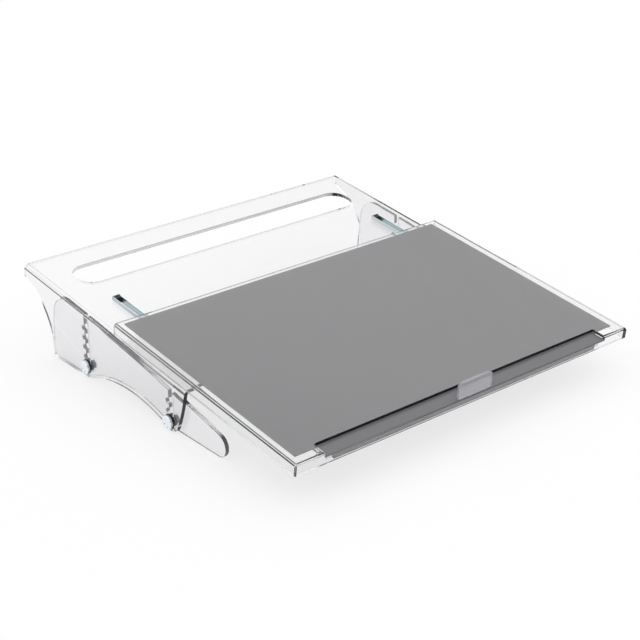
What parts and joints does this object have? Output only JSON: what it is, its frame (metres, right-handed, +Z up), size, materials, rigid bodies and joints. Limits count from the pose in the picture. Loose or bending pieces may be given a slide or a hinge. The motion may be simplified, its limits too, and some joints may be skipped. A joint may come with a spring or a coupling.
{
  "type": "sloping document holder with pull-out writing platform",
  "caption": "Clear desk-top document holder: bent sheet housing with a pen slot, a grey writing platform on telescopic ball slides, and height-setting leg plates.",
  "frame": {"origin": "middle of the whole object's footprint with the platform drawn out, on the desk it stands on", "axes": "+Z up, +Y to the back edge, +X across to the right-hand side as seen from the writing side"},
  "size_m": [0.5246, 0.5488, 0.1063],
  "materials": {
    "clear_acrylic": "clear polished acrylic sheet, bright cut edges",
    "clear_acrylic_legs": "clear polished acrylic sheet",
    "clear_acrylic_cover": "clear polished acrylic sheet",
    "smoked_acrylic": "smoky grey sheet, satin gloss",
    "frosted_acrylic": "pale grey frosted acrylic",
    "black_nylon": "black nylon",
    "chrome": "polished",
    "zinc_steel": "bright zinc plate",
    "cage_steel": "plain strip steel",
    "ball_steel": "polished"
  },
  "bodies": {
    "housing": {"housing": "clear_acrylic", "head_washers": "black_nylon", "spacing_washers": "black_nylon", "clamp_nuts": "black_nylon", "left_slide_outer_member": "zinc_steel", "left_slide_stop": "black_nylon", "left_rail_screws": "zinc_steel", "right_slide_outer_member": "zinc_steel", "right_slide_stop": "black_nylon", "right_rail_screws": "zinc_steel"},
    "platform": {"platform_cover": "clear_acrylic_cover", "writing_mat": "smoked_acrylic", "front_bar": "frosted_acrylic", "document_stop": "frosted_acrylic", "left_spacer_strip": "clear_acrylic_cover", "left_slide_inner_member": "zinc_steel", "left_strip_screws": "zinc_steel", "right_spacer_strip": "clear_acrylic_cover", "right_slide_inner_member": "zinc_steel", "right_strip_screws": "zinc_steel"},
    "left_leg": {"left_leg": "clear_acrylic_legs"},
    "left_middle": {"left_slide_middle_member": "zinc_steel"},
    "left_outer_cage": {"left_outer_ball_cage": "cage_steel", "left_outer_balls": "ball_steel"},
    "left_inner_cage": {"left_inner_ball_cage": "cage_steel", "left_inner_balls": "ball_steel"},
    "left_rear_thumbscrew": {"left_rear_thumbscrew": "chrome"},
    "left_front_thumbscrew": {"left_front_thumbscrew": "chrome"},
    "right_leg": {"right_leg": "clear_acrylic_legs"},
    "right_middle": {"right_slide_middle_member": "zinc_steel"},
    "right_outer_cage": {"right_outer_ball_cage": "cage_steel", "right_outer_balls": "ball_steel"},
    "right_inner_cage": {"right_inner_ball_cage": "cage_steel", "right_inner_balls": "ball_steel"},
    "right_rear_thumbscrew": {"right_rear_thumbscrew": "chrome"},
    "right_front_thumbscrew": {"right_front_thumbscrew": "chrome"}
  },
  "joints": [
    {"name": "platform_slide", "type": "slide", "parent": "housing", "child": "platform", "axis": [0, -0.9923, -0.1236], "range_m": [-0.205, 0]},
    {"name": "left_leg_height", "type": "slide", "parent": "housing", "child": "left_leg", "axis": [0, 0, -1], "range_m": [0, 0.026]},
    {"name": "left_middle_slide", "type": "slide", "parent": "housing", "child": "left_middle", "axis": [0, -0.9923, -0.1236], "range_m": [-0.1025, 0]},
    {"name": "left_outer_cage_roll", "type": "slide", "parent": "housing", "child": "left_outer_cage", "axis": [0, -0.9923, -0.1236], "range_m": [-0.05125, 0]},
    {"name": "left_inner_cage_roll", "type": "slide", "parent": "housing", "child": "left_inner_cage", "axis": [0, -0.9923, -0.1236], "range_m": [-0.15375, 0]},
    {"name": "left_rear_thumbscrew_turn", "type": "hinge", "parent": "housing", "child": "left_rear_thumbscrew", "pos_m": [-0.2575, 0.13586, 0.0147], "axis": [-1, 0, 0], "range_deg": [0, 360]},
    {"name": "left_front_thumbscrew_turn", "type": "hinge", "parent": "housing", "child": "left_front_thumbscrew", "pos_m": [-0.2575, -0.04102, 0.0108], "axis": [-1, 0, 0], "range_deg": [0, 360]},
    {"name": "right_leg_height", "type": "slide", "parent": "housing", "child": "right_leg", "axis": [0, 0, -1], "range_m": [0, 0.026]},
    {"name": "right_middle_slide", "type": "slide", "parent": "housing", "child": "right_middle", "axis": [0, -0.9923, -0.1236], "range_m": [-0.1025, 0]},
    {"name": "right_outer_cage_roll", "type": "slide", "parent": "housing", "child": "right_outer_cage", "axis": [0, -0.9923, -0.1236], "range_m": [-0.05125, 0]},
    {"name": "right_inner_cage_roll", "type": "slide", "parent": "housing", "child": "right_inner_cage", "axis": [0, -0.9923, -0.1236], "range_m": [-0.15375, 0]},
    {"name": "right_rear_thumbscrew_turn", "type": "hinge", "parent": "housing", "child": "right_rear_thumbscrew", "pos_m": [0.2575, 0.13586, 0.0147], "axis": [1, 0, 0], "range_deg": [0, 360]},
    {"name": "right_front_thumbscrew_turn", "type": "hinge", "parent": "housing", "child": "right_front_thumbscrew", "pos_m": [0.2575, -0.04102, 0.0108], "axis": [1, 0, 0], "range_deg": [0, 360]}
  ],
  "couplings": [
    {"joint": "left_middle_slide", "follows": "platform_slide", "ratio": 0.5},
    {"joint": "left_outer_cage_roll", "follows": "platform_slide", "ratio": 0.25},
    {"joint": "left_inner_cage_roll", "follows": "platform_slide", "ratio": 0.75},
    {"joint": "right_middle_slide", "follows": "platform_slide", "ratio": 0.5},
    {"joint": "right_outer_cage_roll", "follows": "platform_slide", "ratio": 0.25},
    {"joint": "right_inner_cage_roll", "follows": "platform_slide", "ratio": 0.75}
  ]
}
